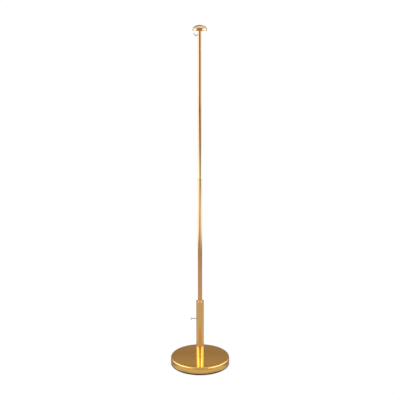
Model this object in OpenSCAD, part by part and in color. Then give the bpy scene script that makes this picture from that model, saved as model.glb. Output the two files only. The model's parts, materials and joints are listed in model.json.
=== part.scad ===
// Telescopic ceremonial stanchion: a round weighted base, a socket tube, two
// telescoping pole tubes with a twist lock between them, a side hook and a
// mushroom cap. +Z is up, the origin is on the floor on the pole's axis, and
// the hook and the thumb screw point along -X. Millimetres.

/* [Base] */
// Diameter of the base cover
base_d = 325; // [280:5:400]
// Height of the base's rounded top edge above the floor
base_h = 43; // [38:1:60]
// Rise of the crowned top face from its edge to the socket's seat
base_rise = 3; // [1:0.5:6]
// Radius of the cover's rounded top edge
cover_edge = 9; // [4:0.5:12]
// Height of the rubber ring that the base stands on
edge_ring_h = 6; // [4:0.5:7]

/* [Socket] */
// Outer diameter of the socket tube
socket_d = 42.4; // [40:0.2:50]
// Height of the socket's top face above the floor
socket_top = 365; // [340:1:450]
// Height of the thumb screw above the floor
screw_z = 262; // [220:1:300]
// Length of screw shank between the socket tube and the screw's head
screw_reach = 25; // [18:1:34]

/* [Pole] */
// Outer diameter of the lower pole tube
lower_d = 24; // [24:0.5:26]
// Height of the lower pole's top end above the floor
lower_top = 1046; // [900:1:1200]
// Outer diameter of the upper pole tube
upper_d = 20; // [19.5:0.1:20.5]
// Height of the upper pole's top end above the floor, pulled right out
upper_top = 1811; // [1700:1:1950]
// Length of upper pole that stays inside the lower pole
overlap = 90; // [80:5:160]

/* [Cap and hook] */
// Diameter of the mushroom cap
cap_d = 73; // [66:1:90]
// Height of the cap's domed part
dome_h = 23.5; // [22:0.5:30]
// Height of the cap's straight band under the dome
band_h = 7; // [6:0.5:12]
// Diameter of the hook's wire
wire_d = 4; // [3:0.5:5]
// Distance from the cap's underside down to the hook's lowest stretch
hook_drop = 21.5; // [20:0.5:28]

/* [Hidden] */
$fn = 96;

brass = "#c79a55";
bright = "#d8d4cc";
iron = "#4a4a4c";
black = "#202020";
nylon = "#e6e1d3";

// Radial clearance of a running or sliding fit, and a gap between flat faces
fit = 0.1;
gap = 0.2;
// A cutter's overshoot past the face it cuts
over = 1;

base_r = base_d / 2;
sheet = 1.2;
pad_t = 3;
pad_r = base_r - 15;
ring_w = 7;
ring_r = base_r - 0.4;
cover_in_r = base_r - sheet;
weight_r = cover_in_r - 0.4;
weight_plate_top = 16;
weight_rim_top = base_h - cover_edge - 5;
weight_rim_w = 13;
hub_r = 42;
socket_seat = base_h + base_rise;
// How far the crown's top is cut down to make the socket's flat seat
seat_cut = 0.3;
hub_top = socket_seat - sheet;

bolt_r = 5;
bolt_hole_r = 5.5;
head_r = 8;
head_h = 10;
head_z = 6.5;
key_across = 8;
washer_t = 2;
spring_t = 2.2;
spring_z = head_z + head_h;
washer_z = spring_z + spring_t;
seat_z = washer_z + washer_t;
recess_r = 13;

socket_r = socket_d / 2;
socket_wall = 1.5;
socket_in_r = socket_r - socket_wall;
plug_h = 28;
plug_top = socket_seat + plug_h;
bolt_end = plug_top - 6;

lower_r = lower_d / 2;
lower_in_r = lower_r - 1;
foot_t = 4;
foot_spigot = 15;
lower_bottom = plug_top + gap + foot_t + gap;
slide_r = lower_r + fit;

collar_lip = 3;
collar_edge = 1.5;
collar_spigot = 22;
guide_z = plug_top + 16;
guide_h = 20;
clamp_h = 30;

screw_r = 2.5;
pad_face_x = lower_r + gap;
pad_len = 3;
screw_tip_x = pad_face_x + pad_len;
screw_head_x = socket_r + screw_reach;
screw_head_r = 7;
screw_head_t = 5;
swivel_r = 1.2;
swivel_len = 3;
screw_groove_x = 0.8;

upper_r = upper_d / 2;
upper_in_r = upper_r - 1.2;
upper_bottom = lower_top - overlap;
bush_lip = 2;
bush_edge = 0.6;
bush_len = 28;
bush_r = upper_r + fit;

stud_r = 3;
lock_flange = 4;
lock_plug_h = 28;
expander_r = lower_in_r - fit;
expander_top = upper_bottom - lock_flange - gap;
expander_h = 36;
expander_bottom = expander_top - expander_h;
cavity_r = 9;
cavity_h = 26;
slot_w = 3;
cone_gap = 0.25;
cone_h = 17;
cone_collar = 5;
cone_r = cavity_r - cone_gap;
cone_tip_r = cone_r - (cavity_r - stud_r - gap) * cone_h / cavity_h;
lug_h = 6;
lug_r = 10.2;
end_nut_t = 5;
end_nut_across = 10;
end_nut_top = expander_bottom - cone_collar - 5;
stud_bottom = end_nut_top - end_nut_t - 1;

top_plug_h = 40;
cap_stud_r = 4;
cap_stud_low = upper_top - 13;
cap_stud_high = upper_top + 16;
cap_r = cap_d / 2;
cap_wall = 1.5;
cap_lip = 2;
plate_t = 2;
boss_r = 11;
boss_h = 18;
dome_z = upper_top + band_h;
shoulder_r = 18;

wire_r = wire_d / 2;
hook_z = upper_top - hook_drop;
// Lengths of wire stop this short of a joint, whose ball is this much thicker
joint_gap = 0.15;
joint_proud = 0.03;
hook_root = 3;
hook_dip = 40;
hook_sag_r = 4;
hook_low = 5.5;
hook_bend_r = 6;
hook_lean = 20;
hook_arm = 7.5;
hook_start = upper_r + 1;
hook_sag_x = hook_start + 2 * hook_sag_r * sin(hook_dip);
hook_root_z = hook_z + 2 * hook_sag_r * (1 - cos(hook_dip));
hook_bend_x = hook_sag_x + hook_low;
hook_arm_x = hook_bend_x + hook_bend_r * cos(hook_lean);
hook_arm_z = hook_z + hook_bend_r * (1 - sin(hook_lean));

// Radius of the crown arc that meets a shoulder arc of radius s in a dome of
// half width a and height b
function crown_r(a, b, s) =
    (pow(a - s, 2) + b * b - s * s) / (2 * (b - s));

// Points of an arc about [x, z] of radius r, from angle a0 to angle a1
function arc(x, z, r, a0, a1, steps = 12) =
    [for (i = [0:steps])
        let (a = a0 + (a1 - a0) * i / steps)
        [x + r * cos(a), z + r * sin(a)]];

// Outline of a dome from its edge to its top, at height z
function dome_outline(a, b, s, z) =
    let (c = crown_r(a, b, s), meet = asin((a - s) / (c - s)))
    concat(
        arc(a - s, z, s, 0, 90 - meet),
        arc(0, z + b - c, c, 90 - meet, 90));

// A solid turned about Z from [radius, height] points
module turned(points) {
    rotate_extrude() polygon(points);
}

// A plain round bar or disc from height z0 to height z1
module disc(r, z0, z1) {
    translate([0, 0, z0]) cylinder(r = r, h = z1 - z0);
}

// A ring from height z0 to height z1
module ring(r, bore, z0, z1) {
    difference() {
        disc(r, z0, z1);
        disc(bore, z0 - over, z1 + over);
    }
}

// A disc whose top edge is rounded
module shouldered(r, z0, z1, edge) {
    rotate_extrude() union() {
        translate([0, z0]) square([r, z1 - z0 - edge]);
        translate([0, z0]) square([r - edge, z1 - z0]);
        translate([r - edge, z1 - edge]) intersection() {
            circle(r = edge);
            square([edge, edge]);
        }
    }
}

// A disc with a rounded edge and a shallow crown, which is flat in its middle
module crowned(r, z0, z1, edge) {
    intersection() {
        turned(concat(
            [[0, z0], [r, z0]],
            dome_outline(r, edge + base_rise + seat_cut, edge, z1 - edge)));
        disc(r, z0, z1 + base_rise);
    }
}

// A round bar along -X at height z, from distance x0 to distance x1
module side_bar(r, x0, x1, z) {
    translate([-x0, 0, z]) rotate([0, -90, 0]) cylinder(r = r, h = x1 - x0);
}

// Base

module floor_pad() {
    color(black) ring(pad_r, recess_r + 3, 0, pad_t);
}

module edge_ring() {
    color(black) difference() {
        shouldered(ring_r, 0, edge_ring_h, 0.8);
        disc(ring_r - ring_w, -over, edge_ring_h + over);
    }
}

module base_weight() {
    color(iron) difference() {
        union() {
            disc(ring_r - ring_w - 0.5, pad_t, edge_ring_h);
            disc(weight_r, edge_ring_h, weight_plate_top);
            ring(weight_r, weight_r - weight_rim_w, weight_plate_top - over, weight_rim_top);
            disc(hub_r, weight_plate_top - over, hub_top);
        }
        disc(recess_r, pad_t - over, seat_z);
        disc(bolt_hole_r, seat_z - over, hub_top + over);
    }
}

module base_cover() {
    color(brass) difference() {
        crowned(base_r, edge_ring_h, base_h, cover_edge);
        crowned(cover_in_r, edge_ring_h - over, base_h - sheet, cover_edge - sheet);
        disc(bolt_hole_r, hub_top - over, socket_seat + over);
    }
}

module base_bolt() {
    color(bright) difference() {
        union() {
            disc(head_r, head_z, head_z + head_h);
            disc(bolt_r, head_z + head_h - over, bolt_end);
        }
        translate([0, 0, head_z - over])
            cylinder(d = key_across / cos(30), h = 6, $fn = 6);
    }
}

module spring_washer() {
    color(bright) difference() {
        ring(9, bolt_r + fit, spring_z, spring_z + spring_t);
        translate([bolt_r - over, -0.6, spring_z - over]) cube([6, 1.2, spring_t + 2 * over]);
    }
}

module flat_washer() {
    color(bright) ring(10.5, bolt_r + fit, washer_z, washer_z + washer_t);
}

// Socket

module socket_plug() {
    color(bright) ring(socket_in_r, bolt_r + fit, socket_seat, plug_top);
}

module socket_tube() {
    color(brass) difference() {
        ring(socket_r, socket_in_r, socket_seat, socket_top - collar_lip);
        side_bar(screw_r + 0.5, socket_in_r - over, socket_r + over, screw_z);
    }
}

module socket_collar() {
    color(brass) difference() {
        union() {
            shouldered(socket_r, socket_top - collar_lip, socket_top, collar_edge);
            disc(socket_in_r, socket_top - collar_lip - collar_spigot, socket_top - collar_lip);
        }
        disc(slide_r, socket_top - collar_lip - collar_spigot - over, socket_top + over);
    }
}

module clamp_bush() {
    color(brass) difference() {
        ring(socket_in_r, slide_r, screw_z - clamp_h / 2, screw_z + clamp_h / 2);
        side_bar(screw_r + fit, slide_r - over, socket_in_r + over, screw_z);
    }
}

module bottom_guide() {
    color(nylon) ring(socket_in_r, slide_r, guide_z, guide_z + guide_h);
}

module thumb_screw() {
    color(bright) difference() {
        union() {
            side_bar(screw_r, screw_tip_x + gap / 2, screw_head_x, screw_z);
            side_bar(screw_head_r - 0.5, screw_head_x, screw_head_x + screw_head_t, screw_z);
            side_bar(screw_head_r, screw_head_x + screw_groove_x,
                screw_head_x + screw_head_t - screw_groove_x, screw_z);
        }
        side_bar(swivel_r + fit, screw_tip_x - over, screw_tip_x + swivel_len + gap, screw_z);
    }
}

module pressure_pad() {
    color(nylon) union() {
        side_bar(screw_r - fit, pad_face_x, screw_tip_x, screw_z);
        side_bar(swivel_r, screw_tip_x - over, screw_tip_x + swivel_len, screw_z);
    }
}

// Lower pole

module foot_glide() {
    color(black) union() {
        disc(lower_r - 0.2, plug_top + gap, plug_top + gap + foot_t);
        disc(lower_in_r - fit, plug_top + foot_t, lower_bottom + foot_spigot);
    }
}

module lower_pole() {
    color(brass) ring(lower_r, lower_in_r, lower_bottom, lower_top - bush_lip);
}

module guide_bush() {
    color(brass) difference() {
        union() {
            shouldered(lower_r, lower_top - bush_lip, lower_top, bush_edge);
            disc(lower_in_r, lower_top - bush_lip - bush_len, lower_top - bush_lip);
        }
        disc(bush_r, lower_top - bush_lip - bush_len - over, lower_top + over);
    }
}

// Upper pole and its twist lock

module upper_pole() {
    color(brass) difference() {
        ring(upper_r, upper_in_r, upper_bottom, upper_top);
        side_bar(wire_r, upper_in_r - over, upper_r + over, hook_root_z);
    }
}

module slide_sleeve() {
    color(nylon) ring(expander_r, upper_r, upper_bottom, lower_top - bush_lip - bush_len - gap);
}

module lock_plug() {
    color(bright) union() {
        disc(upper_in_r, upper_bottom, upper_bottom + lock_plug_h);
        disc(upper_r - fit, upper_bottom - lock_flange, upper_bottom);
        disc(stud_r, stud_bottom, upper_bottom - lock_flange);
    }
}

module lock_expander() {
    color(nylon) difference() {
        disc(expander_r, expander_bottom, expander_top);
        disc(stud_r + gap, expander_bottom, expander_top + over);
        turned([
            [0, expander_bottom - over],
            [cavity_r, expander_bottom - over],
            [cavity_r, expander_bottom],
            [stud_r + gap, expander_bottom + cavity_h],
            [0, expander_bottom + cavity_h],
        ]);
        for (a = [0, 90])
            rotate([0, 0, a]) translate([-expander_r - over, -slot_w / 2, expander_bottom - over])
                cube([2 * (expander_r + over), slot_w, cavity_h - 2 + over]);
    }
}

module lock_cone() {
    color(brass) difference() {
        union() {
            turned([
                [0, expander_bottom - cone_collar],
                [cone_r, expander_bottom - cone_collar],
                [cone_r, expander_bottom],
                [cone_tip_r, expander_bottom + cone_h],
                [0, expander_bottom + cone_h],
            ]);
            translate([-lug_r, -slot_w / 2 + 0.4, expander_bottom - 2])
                cube([2 * lug_r, slot_w - 0.8, lug_h + 2]);
        }
        disc(stud_r + fit, expander_bottom - cone_collar - over, expander_bottom + cone_h + over);
    }
}

module lock_end_nut() {
    color(bright) difference() {
        translate([0, 0, end_nut_top - end_nut_t])
            cylinder(d = end_nut_across / cos(30), h = end_nut_t, $fn = 6);
        disc(stud_r, end_nut_top - end_nut_t - over, end_nut_top + over);
    }
}

module top_plug() {
    color(brass) difference() {
        disc(upper_in_r, upper_top - top_plug_h, upper_top);
        disc(cap_stud_r, cap_stud_low - over, upper_top + over);
        side_bar(wire_r, hook_root, upper_r, hook_root_z);
    }
}

// Hook

// A straight run of the hook's wire from [x, z], at an angle above +X
module wire_run(x, z, angle, length) {
    translate([x, 0, z]) rotate([0, 90 - angle, 0]) translate([0, 0, joint_gap])
        cylinder(r = wire_r, h = length - 2 * joint_gap);
}

// A bend of the hook's wire about [x, z], from angle a0 to angle a1
module wire_bend(x, z, r, a0, a1) {
    step = joint_gap / r * 180 / PI;
    translate([x, 0, z]) rotate([90, 0, 0]) rotate([0, 0, a0 + step])
        rotate_extrude(angle = a1 - a0 - 2 * step) translate([r, 0]) circle(r = wire_r);
}

// The ball that joins two lengths of wire at [x, z]
module wire_joint(x, z) {
    translate([x, 0, z]) sphere(r = wire_r + joint_proud);
}

module hook() {
    half_rise = hook_sag_r * (1 - cos(hook_dip));
    color(bright) mirror([1, 0, 0]) union() {
        wire_run(hook_root, hook_root_z, 0, hook_start - hook_root);
        wire_joint(hook_start, hook_root_z);
        wire_bend(hook_start, hook_root_z - hook_sag_r, hook_sag_r, 90 - hook_dip, 90);
        wire_joint(hook_start + hook_sag_r * sin(hook_dip), hook_z + half_rise);
        wire_bend(hook_sag_x, hook_z + hook_sag_r, hook_sag_r, 270 - hook_dip, 270);
        wire_joint(hook_sag_x, hook_z);
        wire_run(hook_sag_x, hook_z, 0, hook_low);
        wire_joint(hook_bend_x, hook_z);
        wire_bend(hook_bend_x, hook_z + hook_bend_r, hook_bend_r, 270, 360 - hook_lean);
        wire_joint(hook_arm_x, hook_arm_z);
        wire_run(hook_arm_x, hook_arm_z, 90 - hook_lean, hook_arm);
        wire_joint(hook_arm_x + hook_arm * sin(hook_lean), hook_arm_z + hook_arm * cos(hook_lean));
    }
}

// Cap

module cap_stud() {
    color(bright) disc(cap_stud_r, cap_stud_low, cap_stud_high);
}

module cap_plate() {
    color(brass) ring(cap_r - cap_wall, cap_stud_r, upper_top, upper_top + plate_t);
}

module cap_boss() {
    color(brass) ring(boss_r, cap_stud_r, upper_top + plate_t, upper_top + plate_t + boss_h);
}

module cap_dome() {
    color(brass) difference() {
        turned(concat(
            [[0, upper_top], [cap_r - cap_lip, upper_top]],
            arc(cap_r - cap_lip, upper_top + cap_lip, cap_lip, -90, 0, 6),
            dome_outline(cap_r, dome_h, shoulder_r, dome_z)));
        turned(concat(
            [[0, upper_top - over], [cap_r - cap_wall, upper_top - over]],
            dome_outline(cap_r - cap_wall, dome_h - cap_wall, shoulder_r - cap_wall, dome_z)));
    }
}

floor_pad();
edge_ring();
base_weight();
base_cover();
base_bolt();
spring_washer();
flat_washer();
socket_plug();
socket_tube();
socket_collar();
clamp_bush();
bottom_guide();
thumb_screw();
pressure_pad();
foot_glide();
lower_pole();
guide_bush();
upper_pole();
slide_sleeve();
lock_plug();
lock_expander();
lock_cone();
lock_end_nut();
top_plug();
hook();
cap_stud();
cap_boss();
cap_plate();
cap_dome();
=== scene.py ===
import json
import math

import bmesh
import bpy
from mathutils import Matrix, Vector


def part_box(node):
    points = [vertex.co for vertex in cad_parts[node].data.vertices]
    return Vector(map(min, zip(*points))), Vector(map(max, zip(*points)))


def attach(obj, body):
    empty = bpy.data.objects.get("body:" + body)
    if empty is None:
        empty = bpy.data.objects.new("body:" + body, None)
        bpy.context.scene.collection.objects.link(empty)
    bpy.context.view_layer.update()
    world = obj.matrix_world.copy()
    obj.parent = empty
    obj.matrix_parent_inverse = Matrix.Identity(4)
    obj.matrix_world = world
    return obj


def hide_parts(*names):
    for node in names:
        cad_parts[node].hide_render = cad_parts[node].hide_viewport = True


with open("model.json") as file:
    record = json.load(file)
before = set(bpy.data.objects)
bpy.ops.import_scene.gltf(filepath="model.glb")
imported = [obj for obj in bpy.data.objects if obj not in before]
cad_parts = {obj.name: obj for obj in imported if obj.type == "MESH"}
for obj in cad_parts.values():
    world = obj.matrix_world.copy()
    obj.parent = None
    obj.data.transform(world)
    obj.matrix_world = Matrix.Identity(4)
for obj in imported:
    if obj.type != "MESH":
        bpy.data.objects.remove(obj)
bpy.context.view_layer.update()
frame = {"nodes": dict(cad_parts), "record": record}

MM = 0.001

# The wire hook's driving sizes, the same as in the CAD part
WIRE_R = 2 * MM
HOOK_SAG_R = 4 * MM
HOOK_DIP = math.radians(40)
HOOK_LOW = 5.5 * MM
HOOK_BEND_R = 6 * MM
HOOK_LEAN = math.radians(20)
HOOK_ARM = 7.5 * MM
HOOK_ROOT = 3 * MM

# Sheet and tube sizes
COVER_SHEET = 1.2 * MM
COVER_EDGE = 9 * MM
COVER_LIP = 0.6 * MM
COVER_RISE = 3 * MM
COVER_SEAT_CUT = 0.3 * MM
COVER_HOLE_R = 5.5 * MM
RING_WIDTH = 7 * MM
RING_GROOVE = 0.35 * MM
RING_FOOT_EDGE = 0.5 * MM
RING_TOP_EDGE = 0.4 * MM
SOCKET_FOOT_EDGE = 0.4 * MM
COLLAR_EDGE = 1.5 * MM
COLLAR_BORE_EDGE = 0.5 * MM
SEAM_EDGE = 0.15 * MM
BUSH_EDGE = 0.6 * MM
BUSH_BORE_EDGE = 0.3 * MM
CAP_SHEET = 1.5 * MM
CAP_SHOULDER = 18 * MM
CAP_BAND = 7 * MM
CAP_LIP = 2 * MM
PLATE_EDGE = 0.3 * MM
PLATE_GROOVE = 0.25 * MM
PLATE_HOLE_R = 4 * MM
LOWER_WALL = 1 * MM
UPPER_WALL = 1.2 * MM
SOCKET_WALL = 1.5 * MM
TUBE_EDGE = 0.1 * MM
SLIDING_GAP = 0.1 * MM

# The thumb screw: a knurled head on a threaded shank
SCREW_R = 2.5 * MM
SCREW_PITCH = 0.8 * MM
THREAD_DEPTH = 0.42 * MM
HEAD_THICK = 5 * MM
HEAD_TEETH = 36
TOOTH_DEPTH = 0.35 * MM
SCREW_HOLE_R = 3 * MM

# Segments round a piece, by how broad it is
BASE_SEGMENTS = 288
CAP_SEGMENTS = 192
SOCKET_SEGMENTS = 192
PLATE_SEGMENTS = 160
POLE_SEGMENTS = 128
HOLE_SEGMENTS = 48

# Edges sharper than this, in degrees, are not smoothed over
SHARP_ANGLE = 32
WIRE_SHARP_ANGLE = 40
TOOTH_SHARP_ANGLE = 50

# A point nearer the axis than this is on it, and points nearer each other than this are one
ON_AXIS = 1e-9
WELD = 1e-7


# ---------------------------------------------------------------- mesh tools

def arc(x, z, radius, start, end, steps=8):
    """Points of an arc about (x, z), from one angle to another in degrees."""
    angles = [math.radians(start + (end - start) * i / steps) for i in range(steps + 1)]
    return [(x + radius * math.cos(a), z + radius * math.sin(a)) for a in angles]


def finish_mesh(name, bm, sharp_angle=SHARP_ANGLE):
    """Make an object of a bmesh, smooth but for its sharp edges."""
    bmesh.ops.remove_doubles(bm, verts=bm.verts, dist=WELD)
    bmesh.ops.recalc_face_normals(bm, faces=bm.faces)
    mesh = bpy.data.meshes.new(name)
    bm.to_mesh(mesh)
    bm.free()
    mesh.shade_smooth()
    mesh.set_sharp_from_angle(angle=math.radians(sharp_angle))
    piece = bpy.data.objects.new(name, mesh)
    bpy.context.scene.collection.objects.link(piece)
    return piece


def bridge(bm, low, high):
    """Faces between two rings of vertices; a ring of one vertex is a point."""
    count = max(len(low), len(high))
    for i in range(count):
        j = (i + 1) % count
        corners = [low[i % len(low)], low[j % len(low)], high[j % len(high)], high[i % len(high)]]
        unique = list(dict.fromkeys(corners))
        if len(unique) > 2:
            bm.faces.new(unique)


def turned(name, outline, segments, closed=True):
    """Turn an outline of (radius, height) points about Z. A closed outline makes a hollow ring."""
    bm = bmesh.new()
    rows = []
    for radius, height in outline:
        row = []
        for i in range(1 if radius < ON_AXIS else segments):
            a = 2 * math.pi * i / segments
            row.append(bm.verts.new((radius * math.cos(a), radius * math.sin(a), height)))
        rows.append(row)
    pairs = list(zip(rows, rows[1:]))
    if closed:
        pairs.append((rows[-1], rows[0]))
    for low, high in pairs:
        if len(low) > 1 or len(high) > 1:
            bridge(bm, low, high)
    return finish_mesh(name, bm)


def swept(name, path, radius, sides=40, dome_steps=8):
    """A round wire along a path in the XZ plane, with a domed far end."""
    bm = bmesh.new()
    centres = [Vector((x, 0, z)) for x, z in path]
    headings = []
    for i, centre in enumerate(centres):
        before = centres[max(i - 1, 0)]
        after = centres[min(i + 1, len(centres) - 1)]
        headings.append((after - before).normalized())
    sections = [(c, h, radius) for c, h in zip(centres, headings)]
    for step in range(1, dome_steps + 1):
        a = math.pi / 2 * step / dome_steps
        tip = centres[-1] + headings[-1] * radius * math.sin(a)
        sections.append((tip, headings[-1], radius * math.cos(a)))
    across = Vector((0, 1, 0))
    rows = []
    for centre, heading, r in sections:
        up = heading.cross(across)
        row = []
        for k in range(sides):
            a = 2 * math.pi * k / sides
            row.append(bm.verts.new(centre + r * (math.cos(a) * across + math.sin(a) * up)))
        rows.append(row)
    for low, high in zip(rows, rows[1:]):
        bridge(bm, low, high)
    bm.faces.new(rows[0])
    return finish_mesh(name, bm, WIRE_SHARP_ANGLE)


def threaded(name, radius, pitch, depth, start, end, place, sides=32, steps=8):
    """A bar with a V thread, from start to end along its own Z."""
    bm = bmesh.new()
    length = end - start
    count = max(2, round(length / pitch * steps))
    rows = []
    for i in range(count + 1):
        z = start + length * i / count
        taper = min(1.0, (z - start) / pitch, (end - z) / pitch)
        row = []
        for k in range(sides):
            phase = ((z - start) / pitch - k / sides) % 1.0
            r = radius - depth * (1 - taper) - depth * taper * abs(2 * phase - 1)
            a = 2 * math.pi * k / sides
            row.append(bm.verts.new(place @ Vector((r * math.cos(a), r * math.sin(a), z))))
        rows.append(row)
    for low, high in zip(rows, rows[1:]):
        bridge(bm, low, high)
    bm.faces.new(rows[0])
    bm.faces.new(rows[-1])
    return finish_mesh(name, bm, TOOTH_SHARP_ANGLE)


def knurled(name, outline, teeth, depth, place, per_tooth=6, plain_share=0.8):
    """A turned disc with a straight knurled rim, plain inside plain_share of its radius."""
    bm = bmesh.new()
    rim = max(r for r, _ in outline)
    count = teeth * per_tooth
    rows = []
    for radius, height in outline:
        if radius < ON_AXIS:
            rows.append([bm.verts.new(place @ Vector((0, 0, height)))])
            continue
        share = max(0.0, (radius - plain_share * rim) / ((1 - plain_share) * rim))
        row = []
        for k in range(count):
            wave = 0.5 - 0.5 * math.cos(2 * math.pi * (k % per_tooth) / per_tooth)
            r = radius - depth * wave * share
            a = 2 * math.pi * k / count
            point = Vector((r * math.cos(a), r * math.sin(a), height))
            row.append(bm.verts.new(place @ point))
        rows.append(row)
    for low, high in zip(rows, rows[1:]):
        bridge(bm, low, high)
    return finish_mesh(name, bm, TOOTH_SHARP_ANGLE)


def drill(piece, radius, start, end):
    """Cut a round hole through a piece, from one point to another."""
    bm = bmesh.new()
    axis = end - start
    turn = axis.to_track_quat("Z", "Y").to_matrix().to_4x4()
    bmesh.ops.create_cone(
        bm, cap_ends=True, segments=HOLE_SEGMENTS, radius1=radius, radius2=radius,
        depth=axis.length, matrix=Matrix.Translation((start + end) / 2) @ turn,
    )
    cutter = finish_mesh(piece.name + "_cutter", bm)
    cut = piece.modifiers.new("hole", "BOOLEAN")
    cut.operation = "DIFFERENCE"
    cut.solver = "EXACT"
    cut.object = cutter
    finished = piece.evaluated_get(bpy.context.evaluated_depsgraph_get())
    result = bpy.data.meshes.new_from_object(finished)
    piece.modifiers.clear()
    piece.data = result
    bpy.data.objects.remove(cutter)
    piece.data.shade_smooth()
    piece.data.set_sharp_from_angle(angle=math.radians(SHARP_ANGLE))


# ---------------------------------------------------------------- materials

# Colours in linear light
BASE_TINT = (0.93, 0.55, 0.15)
SOCKET_TINT = (0.94, 0.57, 0.19)
LOWER_POLE_TINT = (0.87, 0.49, 0.21)
UPPER_POLE_TINT = (0.88, 0.565, 0.275)
CAP_TINT = (0.95, 0.53, 0.20)
NICKEL_TINT = (0.74, 0.73, 0.70)
WIRE_TINT = (0.46, 0.41, 0.30)
ZINC_TINT = (0.60, 0.62, 0.64)
BARE_BRASS = (0.80, 0.58, 0.28)
STAINED_BRASS = (0.58, 0.37, 0.17)
RUBBER = (0.022, 0.018, 0.014)
RUBBER_DUST = (0.090, 0.078, 0.062)
IRON_PAINT = (0.030, 0.030, 0.032)
RUST = (0.16, 0.065, 0.030)
NYLON = (0.78, 0.74, 0.62)
WORN_NYLON = (0.66, 0.60, 0.47)
BLACK_PLASTIC = (0.020, 0.020, 0.021)
WORN_BLACK_PLASTIC = (0.060, 0.058, 0.055)

# What tarnish leaves of a brass's tint, and a dull patch of its plating's. The deeper tint also
# darkens the brass round its joints, partly as dirt and partly as painted shade
TARNISH = (0.97, 0.90, 0.74)
DEEP_TARNISH_AND_SHADE = (0.72, 0.58, 0.42)
DULL_PLATING = 0.72

LACQUER_ROUGHNESS = 0.06
SATIN_BLEND = 5 * MM
SOFT_RADIUS = (0.002, 0.0016, 0.001)


class Nodes:
    """A small helper that builds one material's node tree."""

    def __init__(self, name):
        self.material = bpy.data.materials.new(name)
        self.material.use_nodes = True
        self.tree = self.material.node_tree
        self.shader = self.tree.nodes["Principled BSDF"]
        self.place = self.add("ShaderNodeTexCoord").outputs["Object"]

    def add(self, kind, **settings):
        node = self.tree.nodes.new(kind)
        for key, value in settings.items():
            setattr(node, key, value)
        return node

    def feed(self, socket, value):
        if isinstance(value, bpy.types.NodeSocket):
            self.tree.links.new(value, socket)
        else:
            socket.default_value = value

    def math(self, operation, a, b=0.0):
        node = self.add("ShaderNodeMath", operation=operation)
        self.feed(node.inputs[0], a)
        self.feed(node.inputs[1], b)
        return node.outputs[0]

    def noise(self, vector, scale, detail=3.0, rough=0.55, warp=0.0):
        node = self.add("ShaderNodeTexNoise")
        self.feed(node.inputs["Vector"], vector)
        node.inputs["Scale"].default_value = scale
        node.inputs["Detail"].default_value = detail
        node.inputs["Roughness"].default_value = rough
        node.inputs["Distortion"].default_value = warp
        return node.outputs["Fac"]

    def remap(self, value, old, new=(0.0, 1.0)):
        """Carry a value smoothly from one range to another; it stays within the new one."""
        node = self.add("ShaderNodeMapRange", interpolation_type="SMOOTHSTEP")
        self.feed(node.inputs["Value"], value)
        for socket, number in zip(list(node.inputs)[1:5], (*old, *new)):
            socket.default_value = number
        return node.outputs["Result"]

    def mix(self, share, a, b):
        node = self.add("ShaderNodeMix", data_type="RGBA")
        self.feed(node.inputs["Factor"], share)
        colours = [s for s in node.inputs if s.type == "RGBA"]
        for socket, colour in zip(colours, (a, b)):
            linked = isinstance(colour, bpy.types.NodeSocket)
            self.feed(socket, colour if linked else (*colour, 1))
        return [s for s in node.outputs if s.type == "RGBA"][0]

    def round_coordinates(self):
        """Distance from the pole's axis, height, and the two plain coordinates across."""
        parts = self.add("ShaderNodeSeparateXYZ")
        self.feed(parts.inputs[0], self.place)
        x, y, z = parts.outputs
        squares = self.math("ADD", self.math("MULTIPLY", x, x), self.math("MULTIPLY", y, y))
        return self.math("SQRT", squares), z, x, y

    def turning_lines(self, per_metre, drift=9.0):
        """Fine lines round the axis, broken up a little along their length."""
        radius, z, x, y = self.round_coordinates()
        vector = self.add("ShaderNodeCombineXYZ")
        self.feed(vector.inputs[0], self.math("MULTIPLY", radius, per_metre))
        self.feed(vector.inputs[1], self.math("MULTIPLY", z, per_metre))
        self.feed(vector.inputs[2], self.math("MULTIPLY", self.math("ADD", x, y), drift))
        return self.noise(vector.outputs[0], 1.0, detail=2.0, rough=0.6)

    def bump(self, height, strength, distance, under=None):
        node = self.add("ShaderNodeBump")
        node.inputs["Strength"].default_value = strength
        node.inputs["Distance"].default_value = distance
        self.feed(node.inputs["Height"], height)
        if under is not None:
            self.feed(node.inputs["Normal"], under)
        return node.outputs["Normal"]


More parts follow.
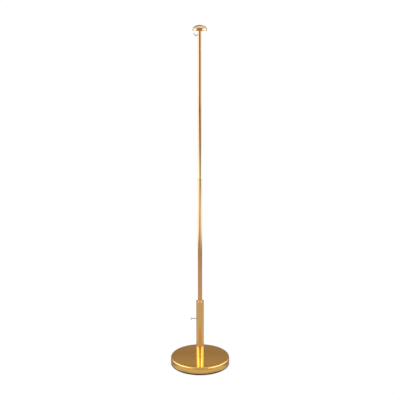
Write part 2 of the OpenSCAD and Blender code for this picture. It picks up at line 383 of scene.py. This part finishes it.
def polished_brass(name, tint, darkened_joint_height, darkened_joint_reach, lacquer, gloss=0.05, lines=2600,
                   satin_from=None):
    """Machine-polished and lacquered brass: turning lines, smudges, faint tarnish, and a darkening
    round the joint at the given height, partly dirt and partly painted shade.

    Beyond the radius satin_from it is only satin, as a broad cover's side is."""
    n = Nodes(name)
    radius, z = n.round_coordinates()[:2]
    warm = tuple(c * k for c, k in zip(tint, TARNISH))
    deep = tuple(c * k for c, k in zip(tint, DEEP_TARNISH_AND_SHADE))
    clouds = n.noise(n.place, 7.0, detail=4.0, rough=0.6, warp=0.8)
    colour = n.mix(n.remap(clouds, (0.35, 0.75), (0.0, 0.55)), tint, warm)
    specks = n.noise(n.place, 420.0, detail=2.0, rough=0.5)
    colour = n.mix(n.remap(specks, (0.70, 0.80), (0.0, 0.35)), colour, deep)
    # Darker and duller round the joint: partly dirt, partly painted shade where the parts meet
    away = n.math("ABSOLUTE", n.math("SUBTRACT", z, darkened_joint_height))
    patchy = n.remap(n.noise(n.place, 160.0, detail=4.0), (0.30, 0.70), (0.25, 1.0))
    dirt_and_shade = n.math("MULTIPLY", n.remap(away, (0.0, darkened_joint_reach), (0.8, 0.0)), patchy)
    colour = n.mix(dirt_and_shade, colour, deep)
    smudges = n.noise(n.place, 26.0, detail=5.0, rough=0.62, warp=1.2)
    rough = n.math("ADD", n.remap(smudges, (0.45, 0.78), (0.0, 0.11)), gloss)
    if satin_from is not None:
        satin = n.remap(radius, (satin_from, satin_from + SATIN_BLEND), (0.0, 0.16))
        rough = n.math("ADD", rough, satin)
    rough = n.math("ADD", rough, n.math("MULTIPLY", dirt_and_shade, 0.22))
    turning = n.turning_lines(lines)
    rough = n.math("ADD", rough, n.remap(turning, (0.45, 0.80), (0.0, 0.05)))
    waves = n.bump(n.noise(n.place, 11.0, detail=2.0, rough=0.4), 0.10, 0.4 * MM)
    fine = n.bump(turning, 0.05, 0.02 * MM, waves)
    n.feed(n.shader.inputs["Base Color"], colour)
    n.feed(n.shader.inputs["Roughness"], rough)
    n.feed(n.shader.inputs["Normal"], fine)
    n.shader.inputs["Metallic"].default_value = 1.0
    n.shader.inputs["Coat Weight"].default_value = lacquer
    n.shader.inputs["Coat Roughness"].default_value = LACQUER_ROUGHNESS
    return n.material


def plated(name, tint, gloss=0.12, lines=5000):
    """Bright plating on steel, with fine turning marks and a few dull patches."""
    n = Nodes(name)
    dull = tuple(c * DULL_PLATING for c in tint)
    patches = n.noise(n.place, 120.0, detail=4.0, rough=0.6, warp=0.6)
    colour = n.mix(n.remap(patches, (0.45, 0.75), (0.0, 0.6)), tint, dull)
    cloudy = n.remap(n.noise(n.place, 300.0), (0.4, 0.8), (0.0, 0.16))
    marks = n.noise(n.place, lines, detail=1.0)
    n.feed(n.shader.inputs["Base Color"], colour)
    n.feed(n.shader.inputs["Roughness"], n.math("ADD", cloudy, gloss))
    n.feed(n.shader.inputs["Normal"], n.bump(marks, 0.08, 0.02 * MM))
    n.shader.inputs["Metallic"].default_value = 1.0
    return n.material


def turned_brass(name):
    """Bare brass as it leaves the lathe."""
    n = Nodes(name)
    lines = n.turning_lines(4200.0, drift=3.0)
    stain = n.remap(n.noise(n.place, 60.0, detail=4.0, rough=0.6, warp=0.5), (0.4, 0.7))
    n.feed(n.shader.inputs["Base Color"], n.mix(stain, BARE_BRASS, STAINED_BRASS))
    n.feed(n.shader.inputs["Roughness"], n.remap(lines, (0.3, 0.7), (0.22, 0.42)))
    n.feed(n.shader.inputs["Normal"], n.bump(lines, 0.25, 0.03 * MM))
    n.shader.inputs["Metallic"].default_value = 1.0
    return n.material


def rubber(name):
    """Matt black rubber with a fine grain and a little dust."""
    n = Nodes(name)
    dust = n.remap(n.noise(n.place, 70.0, detail=5.0, rough=0.65), (0.50, 0.80), (0.0, 0.5))
    grain = n.noise(n.place, 1500.0)
    n.feed(n.shader.inputs["Base Color"], n.mix(dust, RUBBER, RUBBER_DUST))
    n.feed(n.shader.inputs["Roughness"], n.remap(dust, (0.0, 0.5), (0.52, 0.80)))
    n.feed(n.shader.inputs["Normal"], n.bump(grain, 0.35, 0.08 * MM))
    n.shader.inputs["Specular IOR Level"].default_value = 0.4
    return n.material


def cast_iron(name):
    """Rough cast iron under matt black paint, chipped to rust in places."""
    n = Nodes(name)
    grain = n.noise(n.place, 420.0, detail=6.0, rough=0.7)
    chips = n.remap(n.noise(n.place, 55.0, detail=6.0, rough=0.7, warp=0.4), (0.63, 0.68))
    n.feed(n.shader.inputs["Base Color"], n.mix(chips, IRON_PAINT, RUST))
    n.feed(n.shader.inputs["Roughness"], n.remap(chips, (0.0, 1.0), (0.62, 0.85)))
    n.feed(n.shader.inputs["Normal"], n.bump(grain, 0.6, 0.5 * MM))
    return n.material


def plastic(name, tint, worn, gloss, soft=0.0):
    """Moulded plastic with a slight flow pattern and rubbed patches."""
    n = Nodes(name)
    flow = n.remap(n.noise(n.place, 45.0, rough=0.5, warp=1.5), (0.40, 0.75), (0.0, 0.7))
    rubbed = n.remap(n.noise(n.place, 240.0), (0.3, 0.7), (gloss - 0.08, gloss + 0.12))
    grain = n.noise(n.place, 2200.0, detail=2.0)
    n.feed(n.shader.inputs["Base Color"], n.mix(flow, tint, worn))
    n.feed(n.shader.inputs["Roughness"], rubbed)
    n.feed(n.shader.inputs["Normal"], n.bump(grain, 0.12, 0.03 * MM))
    n.shader.inputs["Subsurface Weight"].default_value = soft
    n.shader.inputs["Subsurface Radius"].default_value = SOFT_RADIUS
    return n.material


def paint(piece, material):
    piece.data.materials.clear()
    piece.data.materials.append(material)


# ---------------------------------------------------------------- stage

# A little over white, so that the background has no noise in it
WHITE = 1.02

# What the floor looks like in the brass, by distance from the pole in metres: grey near it,
# then a bright bluish ring, and dark beyond that
FLOOR_REACH = 24
FLOOR_HALF = FLOOR_REACH * 0.6
FLOOR_GLOW = [
    (0.0, (0.72, 0.72, 0.72)), (0.5, (0.58, 0.58, 0.58)), (1.5, (0.55, 0.53, 0.51)),
    (2.2, (0.45, 0.42, 0.39)), (3.0, (0.69, 0.75, 0.80)), (3.9, (0.80, 0.93, 1.05)),
    (4.6, (0.70, 0.82, 0.92)), (5.8, (0.46, 0.52, 0.54)), (7.0, (0.20, 0.20, 0.19)),
    (9.0, (0.09, 0.09, 0.08)), (12, (0.08, 0.08, 0.07)), (18, (0.15, 0.15, 0.13)),
    (24, (0.29, 0.29, 0.29)),
]
# In front of the pole the rings lie off centre, to the left: from one distance to another, the
# share of x that is added to the distance grows by so much
FLOOR_SKEWS = [((1.6, 3.4), (0.05, 0.40)), ((3.6, 5.2), (0.0, 0.17)), ((6.0, 11.0), (0.0, 0.32))]
# The contact shadow that the camera sees
CONTACT_REACH = 0.05
CONTACT_SHADE = 0.80

# Light that the base's own rim throws on the floor before it; the shape makes the spot broader
# than it is deep
WARM_SPOT = (0, -0.36, 0)
WARM_SHAPE = (0.8, 1, 1)
WARM_GLOW = (0.60, 0.40, 0.25)

# How bright the room looks in the brass, by the sine of the angle above the floor
ROOM_GLOW = [
    (0.0, 0.28), (0.03, 0.33), (0.33, 0.36), (0.365, 0.365), (0.385, 0.335), (0.41, 0.375),
    (0.47, 0.44), (0.53, 0.33), (0.58, 0.28), (0.78, 0.28), (0.87, 0.50), (1.0, 0.50),
]
ROOM_BEHIND_CAMERA = (1.0, 1.0, 1.0)
ROOM_BEYOND_POLE = (0.95, 0.79, 0.60)

# Tints of light. They are bluer than daylight because the brass takes most of the blue away
DAYLIGHT = (0.93, 1.01, 1.36)
LOW_DAYLIGHT = (0.89, 1.08, 1.75)
HIGH_DAYLIGHT = (0.82, 1.06, 1.85)
SKYLIGHT = (0.76, 0.95, 1.45)
CARDLIGHT = (0.96, 1.24, 0.80)

# The area lights: name, place, target, width, height (in metres), radiance and tint. Upright
# panels stand at both sides, cards hang over the floor before the base, and panels lie overhead
SOFTBOXES = [
    ("left_softbox", (-2.5, 0.15, 1.15), (0, 0.15, 1.15), 3.2, 1.3, 1.53, DAYLIGHT),
    ("left_low_softbox", (-2.5, 0.15, 0.25), (0, 0.15, 0.25), 3.2, 0.5, 0.98, LOW_DAYLIGHT),
    ("left_card", (-0.96, -0.89, 0.62), (-0.91, -0.84, 0), 0.82, 0.88, 1.9, CARDLIGHT),
    ("right_softbox", (2.5, 0.15, 1.15), (0, 0.15, 1.15), 3.2, 1.3, 1.53, DAYLIGHT),
    ("right_low_softbox", (2.5, 0.15, 0.25), (0, 0.15, 0.25), 3.2, 0.5, 0.86, LOW_DAYLIGHT),
    ("right_card", (0.96, -0.89, 0.62), (0.91, -0.84, 0), 0.82, 0.88, 1.9, CARDLIGHT),
    ("front_card", (0, -1.31, 0.62), (0, -1.25, 0), 1.10, 0.88, 0.31, CARDLIGHT),
    ("left_high_softbox", (-2.5, -0.25, 2.4), (0, -0.25, 2.4), 4.0, 1.2, 1.53, HIGH_DAYLIGHT),
    ("right_high_softbox", (2.5, -0.75, 2.4), (0, -0.75, 2.4), 5.0, 1.2, 1.53, HIGH_DAYLIGHT),
    ("top_softbox", (0, 0, 3.2), (0, 0, 0), 4.8, 1.8, 0.70, SKYLIGHT),
    ("top_left_softbox", (-1.7, 0.5, 3.2), (-1.7, 0.5, 0), 1.4, 2.8, 0.55, SKYLIGHT),
    ("top_right_softbox", (1.35, 0.5, 3.2), (1.35, 0.5, 0), 2.1, 2.8, 0.55, SKYLIGHT),
]

# The camera: places in metres, lens and sensor in millimetres
EYE_DISTANCE = 4.0
EYE_ABOVE_CAP_EDGE = 0.0133
CAMERA_AIM = (0.0003, 0, 0.9313)
CAMERA_ROLL = math.radians(-0.055)
CAMERA_LENS = 69.23
CAMERA_SENSOR = 36


def white_to_camera(tree, seen, unseen):
    """The stage looks plain white, while the metal mirrors a real, dimmer studio."""
    path = tree.nodes.new("ShaderNodeLightPath")
    mix = tree.nodes.new("ShaderNodeMixShader")
    tree.links.new(path.outputs["Is Camera Ray"], mix.inputs[0])
    tree.links.new(unseen, mix.inputs[1])
    tree.links.new(seen, mix.inputs[2])
    return mix.outputs[0]


def fill_ramp(node, stops):
    """Set a colour ramp's stops from (position, colour) pairs; a new ramp has two already."""
    elements = node.color_ramp.elements
    for i, (position, colour) in enumerate(stops):
        stop = elements[i] if i < 2 else elements.new(1.0)
        stop.position = position
        stop.color = (*colour, 1)


def floor_glow(n):
    """The floor's colour and strength as the brass sees them.

    The heading is -1 straight in front of the pole and 1 straight beyond it."""
    radius, _, x, y = n.round_coordinates()
    heading = n.math("DIVIDE", y, radius)
    skew = n.remap(radius, *FLOOR_SKEWS[0])
    for span in FLOOR_SKEWS[1:]:
        skew = n.math("ADD", skew, n.remap(radius, *span))
    skew = n.math("MULTIPLY", n.remap(heading, (-1.0, 0.0), (1.0, 0.0)), skew)
    skewed = n.math("ADD", radius, n.math("MULTIPLY", x, skew))
    ramp = n.add("ShaderNodeValToRGB")
    ramp.color_ramp.interpolation = "EASE"
    n.feed(ramp.inputs["Fac"], n.math("DIVIDE", skewed, FLOOR_REACH))
    fill_ramp(ramp, [(reach / FLOOR_REACH, shade) for reach, shade in FLOOR_GLOW])

    squeezed = n.add("ShaderNodeVectorMath", operation="MULTIPLY")
    n.feed(squeezed.inputs[0], n.place)
    squeezed.inputs[1].default_value = WARM_SHAPE
    spot = n.add("ShaderNodeVectorMath", operation="DISTANCE")
    n.feed(spot.inputs[0], squeezed.outputs[0])
    spot.inputs[1].default_value = WARM_SPOT
    near_spot = n.remap(spot.outputs["Value"], (0.12, 0.33), (1.0, 0.0))
    warm = n.math("MULTIPLY", near_spot, n.remap(radius, (0.225, 0.265)))

    to_the_side = n.remap(heading, (-0.65, -0.15), (0.0, 0.55))
    beside = n.math("MULTIPLY", to_the_side, n.remap(radius, (0.2, 0.36), (1.0, 0.0)))
    in_front = n.remap(heading, (-0.9, -0.5), (1.0, 0.0))
    under_rim = n.math("MULTIPLY", n.remap(radius, (0.170, 0.190), (0.65, 0.0)), in_front)
    shaded = n.math("SUBTRACT", n.math("SUBTRACT", 1.0, beside), under_rim)
    beyond = n.remap(heading, (0.1, 0.9), (1.0, 0.88))
    return n.mix(warm, ramp.outputs["Color"], WARM_GLOW), n.math("MULTIPLY", beyond, shaded)


def make_floor():
    """The floor: white to the camera but for a faint contact shadow, and grey in the brass."""
    bm = bmesh.new()
    bmesh.ops.create_grid(bm, x_segments=8, y_segments=8, size=FLOOR_HALF)
    floor = finish_mesh("studio_floor", bm)
    n = Nodes("studio_floor")
    colour, strength = floor_glow(n)
    glow = n.add("ShaderNodeEmission")
    n.feed(glow.inputs["Color"], colour)
    n.feed(glow.inputs["Strength"], strength)
    white = n.add("ShaderNodeEmission")
    near = n.add("ShaderNodeAmbientOcclusion", samples=8)
    near.inputs["Distance"].default_value = CONTACT_REACH
    shade = n.remap(near.outputs["AO"], (0.0, 0.9), (CONTACT_SHADE, WHITE))
    n.feed(white.inputs["Strength"], shade)
    surface = white_to_camera(n.tree, white.outputs[0], glow.outputs[0])
    n.tree.links.new(surface, n.tree.nodes["Material Output"].inputs["Surface"])
    n.tree.nodes.remove(n.shader)
    paint(floor, n.material)


def make_world():
    """The room: neutral behind the camera and warmer beyond the pole, with a dark band below
    its bright ceiling. The camera sees white instead."""
    world = bpy.data.worlds.new("studio")
    bpy.context.scene.world = world
    world.use_nodes = True
    tree = world.node_tree
    heading = tree.nodes.new("ShaderNodeSeparateXYZ")
    towards = tree.nodes.new("ShaderNodeTexCoord").outputs["Generated"]
    tree.links.new(towards, heading.inputs[0])
    colour = tree.nodes.new("ShaderNodeMix")
    colour.data_type = "RGBA"
    tree.links.new(heading.outputs["Y"], colour.inputs["Factor"])
    shades = [socket for socket in colour.inputs if socket.type == "RGBA"]
    shades[0].default_value = (*ROOM_BEHIND_CAMERA, 1)
    shades[1].default_value = (*ROOM_BEYOND_POLE, 1)
    level = tree.nodes.new("ShaderNodeValToRGB")
    tree.links.new(heading.outputs["Z"], level.inputs["Fac"])
    fill_ramp(level, [(height, (shade, shade, shade)) for height, shade in ROOM_GLOW])
    dim = tree.nodes["Background"]
    mixed = [socket for socket in colour.outputs if socket.type == "RGBA"][0]
    tree.links.new(mixed, dim.inputs["Color"])
    tree.links.new(level.outputs["Color"], dim.inputs["Strength"])
    white = tree.nodes.new("ShaderNodeBackground")
    white.inputs["Color"].default_value = (1, 1, 1, 1)
    white.inputs["Strength"].default_value = WHITE
    surface = white_to_camera(tree, white.outputs[0], dim.outputs[0])
    tree.links.new(surface, tree.nodes["World Output"].inputs["Surface"])


def softbox(name, place, target, width, height, radiance, tint):
    """A soft area light, sized in metres and set by how bright its face looks."""
    light = bpy.data.lights.new(name, "AREA")
    light.shape = "RECTANGLE"
    light.size = width
    light.size_y = height
    light.energy = radiance * width * height * math.pi
    light.color = tint
    lamp = bpy.data.objects.new(name, light)
    lamp.location = place
    lamp.visible_camera = False
    lamp.rotation_euler = (Vector(target) - Vector(place)).to_track_quat("-Z", "Y").to_euler()
    bpy.context.scene.collection.objects.link(lamp)


def make_studio():
    make_floor()
    make_world()
    for settings in SOFTBOXES:
        softbox(*settings)
    bpy.context.scene.view_settings.view_transform = "Standard"


def make_camera():
    """The eye is level with the cap's band, four metres off, and looks down at the pole's
    middle. Everything is in focus."""
    eye = Vector((0, -EYE_DISTANCE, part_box("cap_dome")[0].z + EYE_ABOVE_CAP_EDGE))
    aim = Vector(CAMERA_AIM)
    data = bpy.data.cameras.new("camera")
    data.sensor_width = CAMERA_SENSOR
    data.lens = CAMERA_LENS
    data.clip_end = 100
    camera = bpy.data.objects.new("camera", data)
    camera.location = eye
    level = (aim - eye).to_track_quat("-Z", "Y").to_matrix()
    camera.rotation_euler = (level @ Matrix.Rotation(CAMERA_ROLL, 3, "Z")).to_euler()
    bpy.context.scene.collection.objects.link(camera)
    bpy.context.scene.camera = camera


# ---------------------------------------------------------------- the pole

def add(piece, node, body, material):
    """A Blender piece stands for one CAD node, rides its body and takes its slot."""
    paint(piece, material)
    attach(piece, body)
    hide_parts(node)


def tube_outline(outer, wall, low, high):
    """A plain tube's wall, its outer ends slightly broken."""
    inner = outer - wall
    return [
        (inner, low), (outer - TUBE_EDGE, low), (outer, low + TUBE_EDGE),
        (outer, high - TUBE_EDGE), (outer - TUBE_EDGE, high), (inner, high),
    ]


def dome_outline(half, height, shoulder, z):
    """A dome's side from its edge to its top: a shoulder arc that runs into a crown arc."""
    crown = ((half - shoulder) ** 2 + height ** 2 - shoulder ** 2) / (2 * (height - shoulder))
    meet = math.degrees(math.asin((half - shoulder) / (crown - shoulder)))
    side = arc(half - shoulder, z, shoulder, 0, 90 - meet, 14)
    top = arc(0, z + height - crown, crown, 90 - meet, 90, 18)
    return side + top[1:-1] + [(0, z + height)]


def crowned_outline(r, edge, bottom, seat):
    """A cover's side and top: a rounded edge that runs into a shallow crown, which is cut flat
    at the height seat."""
    side = seat - COVER_RISE - edge
    outline = dome_outline(r, edge + COVER_RISE + COVER_SEAT_CUT, edge, side)
    crown = [(x, min(z, seat)) for x, z in outline if x > COVER_HOLE_R]
    return [(r, bottom)] + crown + [(COVER_HOLE_R, seat)]


def make_base():
    low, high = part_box("base_cover")
    r, edge_z, top = high.x, low.z + COVER_LIP, high.z
    inside = crowned_outline(r - COVER_SHEET, COVER_EDGE - COVER_SHEET, edge_z, top - COVER_SHEET)
    outside = crowned_outline(r, COVER_EDGE, edge_z, top)
    rolled = arc(r - COVER_LIP, edge_z, COVER_LIP, 180, 360, 10)
    cover = turned("spun_cover", list(reversed(inside)) + rolled + outside, BASE_SEGMENTS)
    brass = polished_brass(
        "lacquered_base_brass", BASE_TINT, low.z, 3 * MM, lacquer=0.22,
        gloss=0.045, lines=1900, satin_from=r - COVER_EDGE,
    )
    add(cover, "base_cover", "base", brass)

    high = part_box("edge_ring")[1]
    r, top = high.x, high.z
    foot = [(r - RING_WIDTH, 0), (r - RING_FOOT_EDGE, 0), (r, RING_FOOT_EDGE)]
    groove = [(r, top * 0.42), (r - RING_GROOVE, top * 0.48),
              (r - RING_GROOVE, top * 0.56), (r, top * 0.62)]
    shoulder = [(r, top - RING_TOP_EDGE), (r - RING_TOP_EDGE, top), (r - RING_WIDTH, top)]
    ring = turned("rubber_edge_ring", foot + groove + shoulder, BASE_SEGMENTS)
    add(ring, "edge_ring", "base", rubber("black_rubber"))


def make_socket():
    low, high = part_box("socket_tube")
    r, seam_z, height = high.x, high.z, high.z - low.z
    inner = r - SOCKET_WALL
    foot = SOCKET_FOOT_EDGE
    outline = [(inner, low.z), (r - foot, low.z), (r, low.z + foot)]
    outline += [(r, low.z + height * k / 8) for k in range(1, 8)]
    outline += [(r, seam_z - SEAM_EDGE), (r - SEAM_EDGE, seam_z), (inner, seam_z)]
    tube = turned("socket_wall", outline, SOCKET_SEGMENTS)
    screw_z = sum(corner.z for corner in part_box("thumb_screw")) / 2
    wall = Vector((-r, 0, screw_z))
    past = Vector((4 * MM, 0, 0))
    drill(tube, SCREW_HOLE_R, wall + past, wall - past)
    brass = polished_brass(
        "lacquered_socket_brass", SOCKET_TINT, low.z, 2.5 * MM, lacquer=0.6)
    add(tube, "socket_tube", "base", brass)

    low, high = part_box("socket_collar")
    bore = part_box("lower_pole")[1].x + SLIDING_GAP
    rounded, bored = COLLAR_EDGE, COLLAR_BORE_EDGE
    outline = (
        [(bore, low.z), (inner, low.z), (inner, seam_z), (r - SEAM_EDGE, seam_z),
         (r, seam_z + SEAM_EDGE)]
        + arc(r - rounded, high.z - rounded, rounded, 0, 90, 8)
        + arc(bore + bored, high.z - bored, bored, 90, 180, 4)
    )
    collar = turned("socket_collar_ring", outline, SOCKET_SEGMENTS)
    brass = polished_brass(
        "lacquered_collar_brass", SOCKET_TINT, seam_z, 1.2 * MM, lacquer=1.0)
    add(collar, "socket_collar", "base", brass)


def make_thumb_screw():
    low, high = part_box("thumb_screw")
    z = (low.z + high.z) / 2
    head_r = (high.z - low.z) / 2
    aim = Matrix.Translation((0, 0, z)) @ Matrix.Rotation(-math.pi / 2, 4, "Y")
    outer = -low.x
    inner = outer - HEAD_THICK
    shank = threaded("thumb_screw_thread", SCREW_R, SCREW_PITCH, THREAD_DEPTH,
                     -high.x, inner - 1.2 * MM, aim)
    neck = [(0, inner - 1.4 * MM), (3.2 * MM, inner - 1.4 * MM),
            (3.6 * MM, inner - 1.0 * MM), (3.6 * MM, inner)]
    rim = [(head_r - 0.8 * MM, inner), (head_r, inner + 0.8 * MM),
           (head_r, outer - 1.2 * MM), (head_r - 0.8 * MM, outer - 0.5 * MM)]
    groove = [(4.2 * MM, outer - 0.5 * MM), (3.9 * MM, outer - 0.8 * MM),
              (3.5 * MM, outer - 0.8 * MM), (3.2 * MM, outer - 0.5 * MM)]
    crown = [(1.6 * MM, outer - 0.15 * MM), (0, outer)]
    head = knurled("thumb_screw_head", neck + rim + groove + crown, HEAD_TEETH, TOOTH_DEPTH, aim)
    nickel = plated("nickel_plate", NICKEL_TINT)
    add(shank, "thumb_screw", "clamp_screw", nickel)
    add(head, "thumb_screw", "clamp_screw", nickel)


def make_pole():
    low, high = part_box("lower_pole")
    r, seam_z = high.x, high.z
    tube = turned(
        "lower_pole_tube", tube_outline(r, LOWER_WALL, low.z, seam_z), POLE_SEGMENTS)
    brass = polished_brass(
        "lacquered_lower_pole_brass", LOWER_POLE_TINT, seam_z, 1.5 * MM, lacquer=0.6)
    add(tube, "lower_pole", "lower_section", brass)

    low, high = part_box("guide_bush")
    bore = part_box("upper_pole")[1].x + SLIDING_GAP
    inner = r - LOWER_WALL
    rounded, bored = BUSH_EDGE, BUSH_BORE_EDGE
    outline = (
        [(bore, low.z), (inner, low.z), (inner, seam_z), (r - TUBE_EDGE, seam_z),
         (r, seam_z + TUBE_EDGE)]
        + arc(r - rounded, high.z - rounded, rounded, 0, 90, 6)
        + arc(bore + bored, high.z - bored, bored, 90, 180, 4)
    )
    bush = turned("pole_guide_bush", outline, POLE_SEGMENTS)
    brass = polished_brass(
        "lacquered_bush_brass", LOWER_POLE_TINT, seam_z, 0.8 * MM, lacquer=0.6)
    add(bush, "guide_bush", "lower_section", brass)

    low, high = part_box("upper_pole")
    tube = turned(
        "upper_pole_tube", tube_outline(high.x, UPPER_WALL, low.z, high.z), POLE_SEGMENTS)
    brass = polished_brass(
        "lacquered_upper_pole_brass", UPPER_POLE_TINT, high.z, 2 * MM, lacquer=0.5)
    add(tube, "upper_pole", "upper_section", brass)


def hook_path():
    """The hook's centreline, outward from the pole, as (distance, height) points."""
    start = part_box("upper_pole")[1].x + 1 * MM
    low_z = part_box("hook")[0].z + WIRE_R
    rise = 2 * HOOK_SAG_R * (1 - math.cos(HOOK_DIP))
    low_x = start + 2 * HOOK_SAG_R * math.sin(HOOK_DIP)
    dip, lean = math.degrees(HOOK_DIP), math.degrees(HOOK_LEAN)
    path = [(HOOK_ROOT, low_z + rise)]
    path += arc(start, low_z + rise - HOOK_SAG_R, HOOK_SAG_R, 90, 90 - dip, 8)
    path += arc(low_x, low_z + HOOK_SAG_R, HOOK_SAG_R, 270 - dip, 270, 8)[1:]
    path += arc(low_x + HOOK_LOW, low_z + HOOK_BEND_R, HOOK_BEND_R, 270, 360 - lean, 14)
    x, z = path[-1]
    path.append((x + HOOK_ARM * math.sin(HOOK_LEAN), z + HOOK_ARM * math.cos(HOOK_LEAN)))
    return path


def make_hook():
    hook = swept("wire_hook", [(-x, z) for x, z in hook_path()], WIRE_R)
    add(hook, "hook", "upper_section", plated("nickel_wire", WIRE_TINT))


def make_cap():
    low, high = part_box("cap_dome")
    half = high.x
    band_top = low.z + CAP_BAND
    height = high.z - band_top
    inside = dome_outline(
        half - CAP_SHEET, height - CAP_SHEET, CAP_SHOULDER - CAP_SHEET, band_top)
    outline = (
        [(half - CAP_SHEET, low.z + 0.1 * MM)]
        + arc(half - CAP_LIP, low.z + CAP_LIP, CAP_LIP, -72, 0, 8)
        + dome_outline(half, height, CAP_SHOULDER, band_top)
    )
    shell = turned("cap_shell", list(reversed(inside)) + outline, CAP_SEGMENTS, closed=False)
    brass = polished_brass("lacquered_cap_brass", CAP_TINT, low.z, 1.5 * MM, lacquer=0.9)
    add(shell, "cap_dome", "upper_section", brass)

    low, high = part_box("cap_plate")
    r, groove_z = high.x, low.z + PLATE_GROOVE
    outline = [
        (PLATE_HOLE_R, low.z),
        (11.2 * MM, low.z), (11.6 * MM, groove_z), (12.4 * MM, groove_z), (12.8 * MM, low.z),
        (r - PLATE_EDGE, low.z), (r, low.z + PLATE_EDGE), (r, high.z), (PLATE_HOLE_R, high.z),
    ]
    plate = turned("cap_underplate", outline, PLATE_SEGMENTS)
    add(plate, "cap_plate", "upper_section", brass)


def finish_cad_nodes():
    """The hidden pieces keep their CAD shape and get a real surface each."""
    finishes = {
        "rubber": rubber("floor_pad_rubber"),
        "cast_iron": cast_iron("painted_cast_iron"),
        "zinc_steel": plated("zinc_plate", ZINC_TINT, gloss=0.26, lines=3000),
        "turned_brass": turned_brass("turned_brass"),
        "nylon": plastic("natural_nylon", NYLON, WORN_NYLON, gloss=0.45, soft=0.15),
        "black_plastic": plastic("black_plastic", BLACK_PLASTIC, WORN_BLACK_PLASTIC, gloss=0.40),
    }
    slots = {part["node"]: part["material_slot"] for part in frame["record"]["subparts"]}
    for name, node in frame["nodes"].items():
        if not node.hide_render:
            paint(node, finishes[slots[name]])


make_camera()
make_studio()
make_base()
make_socket()
make_thumb_screw()
make_pole()
make_hook()
make_cap()
finish_cad_nodes()
